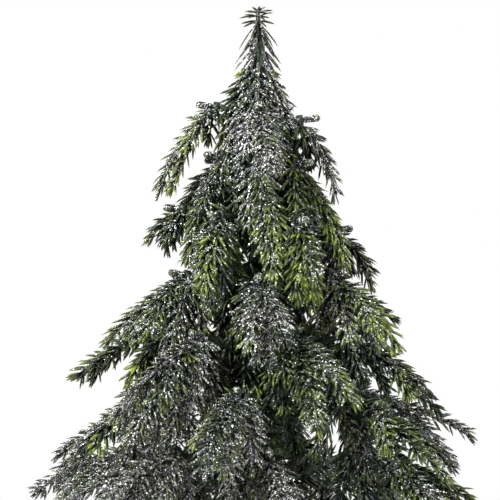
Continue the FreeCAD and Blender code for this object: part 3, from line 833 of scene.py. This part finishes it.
def turned_away(side, up, count, rng):
    """Random directions in the plane of side and up."""
    roll = rng.uniform(0, 2 * np.pi, count)[:, None]
    return side * np.cos(roll) + up * np.sin(roll)


# ---------------------------------------------------------------------------------------------
# Base and trunk
# ---------------------------------------------------------------------------------------------

SACK_RINGS, SACK_SIDES = 120, 288
SACK_FOLDS = 13
CLOTH_THICKNESS = 0.9
TWINE_TURNS = 3
PLIES = 3


def sack_outline(widest, bottom, top, neck, twine_low, twine_high):
    """The sack's half section: (radius, height) from its bottom's middle to its ruffle."""
    return np.array([
        (0.0, bottom), (widest * 0.45, bottom), (widest * 0.80, bottom + 0.2),
        (widest * 0.90, bottom + 2.0), (widest * 0.965, bottom + 6), (widest, bottom + 13),
        (widest * 0.985, bottom + 22), (widest * 0.90, bottom + 30), (widest * 0.72, bottom + 37),
        (widest * 0.48, bottom + 44), (neck + 2.5, twine_low - 2.5), (neck, twine_low + 1),
        (neck, twine_high - 1), (neck + 2.2, twine_high + 2.2), (neck + 5.2, top - 3.5),
        (neck + 6.6, top - 0.4)])


def sack_pleats(z, angle, rng):
    """Waves of several widths round the sack, which lean a little as they go up."""
    pleats = np.zeros((len(z), len(angle)))
    for waves in (11, 17, 23, 31):
        phase, lean = rng.uniform(0, 6.28), rng.uniform(-0.01, 0.01)
        wave = np.cos(waves * angle[None, :] + phase + lean * waves * z[:, None])
        pleats += wave / waves ** 0.35
    return pleats


def sack_folds(rise, angle, rng):
    """Narrow outward folds from the sack's foot up, rise being the height above its bottom."""
    folds = np.zeros((len(rise), len(angle)))
    for fold in range(SACK_FOLDS):
        spot = fold * 2 * np.pi / SACK_FOLDS + rng.uniform(-0.15, 0.15)
        drift = rng.uniform(-0.012, 0.012) * rise
        away = np.angle(np.exp(1j * (angle[None, :] - spot - drift[:, None])))
        run = np.clip((rise - rng.uniform(2, 14)) / 22, 0, 1)[:, None]
        folds += rng.uniform(0.8, 1.9) * run * np.exp(-(away / rng.uniform(0.045, 0.08)) ** 2)
    return folds


def lay_cloth(sack, angle, distance, widest):
    """Gives the sack cloth coordinates in metres: round its widest part, and along its section."""
    cloth = sack.data.uv_layers.new(name="cloth")
    corner = np.zeros(len(sack.data.loops), int)
    sack.data.loops.foreach_get("vertex_index", corner)
    starts = np.zeros(len(sack.data.polygons), int)
    sack.data.polygons.foreach_get("loop_start", starts)
    u = np.append(np.tile(angle, len(distance)), 0)[corner] * widest * MM
    v = np.append(np.repeat(distance, len(angle)), 0)[corner] * MM
    # the faces across the seam carry on past a whole turn
    face_end = np.repeat(np.maximum.reduceat(u, starts), np.diff(np.append(starts, len(corner))))
    u = np.where(face_end - u > 0.1, u + 2 * np.pi * widest * MM, u)
    cloth.data.foreach_set("uv", np.column_stack([u, v]).ravel())


def build_sack(material):
    """The burlap: a strip closed round the plug, pleated in at the neck and flared above it."""
    low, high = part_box("burlap_sack")
    widest, bottom, top = high.x / MM, low.z / MM, high.z / MM
    twine_low, twine_high = (corner.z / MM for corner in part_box("twine_binding"))
    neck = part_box("twine_binding")[1].x / MM - 2.6
    outline = sack_outline(widest, bottom, top, neck, twine_low, twine_high)
    chord = np.concatenate([[0], np.cumsum(np.linalg.norm(np.diff(outline, axis=0), axis=1))])
    distance = np.linspace(0, chord[-1], SACK_RINGS)
    r = smooth_through(chord, outline[:, 0], distance)
    z = smooth_through(chord, outline[:, 1], distance)
    angle = turn_angles(SACK_SIDES)
    rng = np.random.default_rng(31)
    gather = np.clip((z - (bottom + 26)) / (twine_low - bottom - 26), 0, 1) ** 1.4
    pressed = np.where((z > twine_low) & (z < twine_high), 0.35, 1.0)
    depth = 0.9 * np.minimum(r / 10, 1.4) * gather * 1.35 * pressed
    sag = np.cos(3 * angle + 1.0)[None, :] * 0.5 + np.cos(5 * angle + 2.2)[None, :] * 0.35
    body = np.clip(z - bottom - 1.0, 0, 8) / 8 * (1 - gather)
    radius = (r - 0.5 * gather)[:, None] + sack_pleats(z, angle, rng) * depth[:, None]
    radius += (0.35 * sag - 0.3 + sack_folds(z - bottom, angle, rng)) * body[:, None]
    radius = np.maximum(np.minimum(radius, widest + 2.0), 0.0)[1:]
    flare = np.clip((z - twine_high) / (top - twine_high), 0, 1)[1:, None]
    ruffle = (np.cos(7 * angle + 0.5) * 0.9 + np.cos(4 * angle) * 0.7)[None]
    points = np.stack([radius * np.cos(angle), radius * np.sin(angle),
                       z[1:, None] + flare * ruffle], -1)
    centre = len(points) * SACK_SIDES
    floor = [[centre, (j + 1) % SACK_SIDES, j] for j in range(SACK_SIDES)]
    mesh = Mesh()
    mesh.add(np.concatenate([points.reshape(-1, 3), [[0, 0, bottom]]]), np.ones(3),
             tube_faces(len(points), SACK_SIDES)[:, ::-1], floor)
    sack = mesh.build("burlap_cloth", [material])
    lay_cloth(sack, angle, distance[1:], widest)
    thick = sack.modifiers.new("thickness", "SOLIDIFY")
    thick.thickness = CLOTH_THICKNESS * MM
    thick.offset = -1
    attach(sack, TRUNK)
    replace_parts(sack, "burlap_sack")


def smooth_through(x, y, at):
    """Values of a smooth curve through the points (x, y), by cubic pieces."""
    gap, rise = np.diff(x), np.diff(y) / np.diff(x)
    slope = np.concatenate([[rise[0]], (rise[1:] + rise[:-1]) / 2, [rise[-1]]])
    slope[1:-1][rise[1:] * rise[:-1] <= 0] = 0
    i = np.clip(np.searchsorted(x, at) - 1, 0, len(x) - 2)
    t = (at - x[i]) / gap[i]
    return ((1 + 2 * t) * (1 - t) ** 2 * y[i] + t * (1 - t) ** 2 * gap[i] * slope[i]
            + t ** 2 * (3 - 2 * t) * y[i + 1] + t ** 2 * (t - 1) * gap[i] * slope[i + 1])


def strand(mesh, line, radius, tone, sides=7):
    """A tube along a line of points, closed at its ends."""
    ahead = unit(np.gradient(line, axis=0))
    first = unit(np.cross(ahead, UP + 1e-3))
    tube = line[:, None] + spokes(first[:, None], np.cross(ahead, first)[:, None], sides) * radius
    points = np.concatenate([tube.reshape(-1, 3), line[:1], line[-1:]])
    mesh.add(points, tone, tube_faces(len(line), sides), end_caps(len(line), sides))


def build_twine(material):
    """Three-ply twine in tight turns round the neck, its ends tucked under."""
    low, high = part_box("twine_binding")
    radius = high.x / MM - 1.0
    pitch = (high.z - low.z) / MM / (TWINE_TURNS + 0.15)
    turn = np.linspace(0, TWINE_TURNS, TWINE_TURNS * 220)
    angle = turn * 2 * np.pi + 0.6
    tuck = 1.1 * (np.exp(-(turn / 0.05) ** 2) + np.exp(-((TWINE_TURNS - turn) / 0.05) ** 2))
    z = low.z / MM + 0.95 + turn * pitch * (TWINE_TURNS - 0.9) / TWINE_TURNS
    mesh = Mesh()
    for ply in range(PLIES):
        twist = turn * 2 * np.pi * radius * 2 * np.pi / 4.2 + ply * 2 * np.pi / PLIES
        r = radius - tuck + 0.47 * np.cos(twist)
        line = np.stack([r * np.cos(angle), r * np.sin(angle), z + 0.47 * np.sin(twist)], 1)
        strand(mesh, line, 0.52, np.ones(3))
    twine = mesh.build("twine_turns", [material])
    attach(twine, TRUNK)
    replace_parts(twine, "twine_binding")


def build_tape(material):
    """Brown paper tape wound up the rod: overlapping turns with creases."""
    low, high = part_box("trunk_tape")
    bottom, top, outer = low.z / MM, high.z / MM, high.x / MM
    rows, sides, pitch = 150, 64, 6.0
    z = np.linspace(bottom, top, rows)
    angle = turn_angles(sides)
    phase = (z[:, None] / pitch - angle[None] / (2 * np.pi)) % 1.0
    rng = np.random.default_rng(5)
    crease = sum(np.cos(k * angle[None] + rng.uniform(0, 6) + z[:, None] * rng.uniform(0.4, 1.6))
                 for k in (3, 5, 8, 12)) * 0.05
    radius = outer - 0.45 + phase * 0.38 + crease
    points = np.stack([radius * np.cos(angle), radius * np.sin(angle),
                       np.repeat(z[:, None], sides, 1)], -1)
    mesh = Mesh()
    mesh.add(np.concatenate([points.reshape(-1, 3), [[0, 0, bottom], [0, 0, top]]]), np.ones(3),
             tube_faces(rows, sides), end_caps(rows, sides))
    tape = mesh.build("paper_tape", [material])
    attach(tape, TRUNK)
    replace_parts(tape, "trunk_tape")


def paint_node(node, material):
    slots = frame["nodes"][node].data.materials
    slots.clear()
    slots.append(material)


def build_tree():
    foliage = foliage_material()
    glitter = plain("silver_glitter", (0.92, 0.92, 0.93), 0.28, metallic=0.2)
    jute = mottled("jute_twine", (0.22, 0.14, 0.07), (0.56, 0.42, 0.25), 0.85, 900, 0.5)
    paper = mottled("brown_paper", (0.07, 0.045, 0.028), (0.19, 0.125, 0.075), 0.8, 260, 0.6)
    stem = mottled("stem_plastic", (0.008, 0.016, 0.008), (0.03, 0.055, 0.02), 0.45, 300, 0.25)
    joints = frame["record"]["behaviour"]["joints"]
    for number, joint in enumerate(joints):
        build_spray(joint, number, foliage, glitter)
    build_leader(foliage, glitter)
    build_tuft(foliage, glitter)
    build_stem_foliage(foliage, glitter)
    build_arm_needles(joints, foliage, glitter)
    build_sack(woven_material())
    build_twine(jute)
    build_tape(paper)
    for node in STEM_NODES:
        paint_node(node, stem)
    paint_node("base_plug", mottled("plaster", (0.6, 0.58, 0.54), (0.8, 0.78, 0.74), 0.9, 120))
    paint_node("base_pad", mottled("felt", (0.06, 0.05, 0.04), (0.12, 0.1, 0.08), 0.95, 700, 0.8))
    paint_node("trunk_rod", mottled("drawn_steel", (0.2, 0.2, 0.2), (0.4, 0.39, 0.38), 0.35, 200))


add_studio()
build_tree()
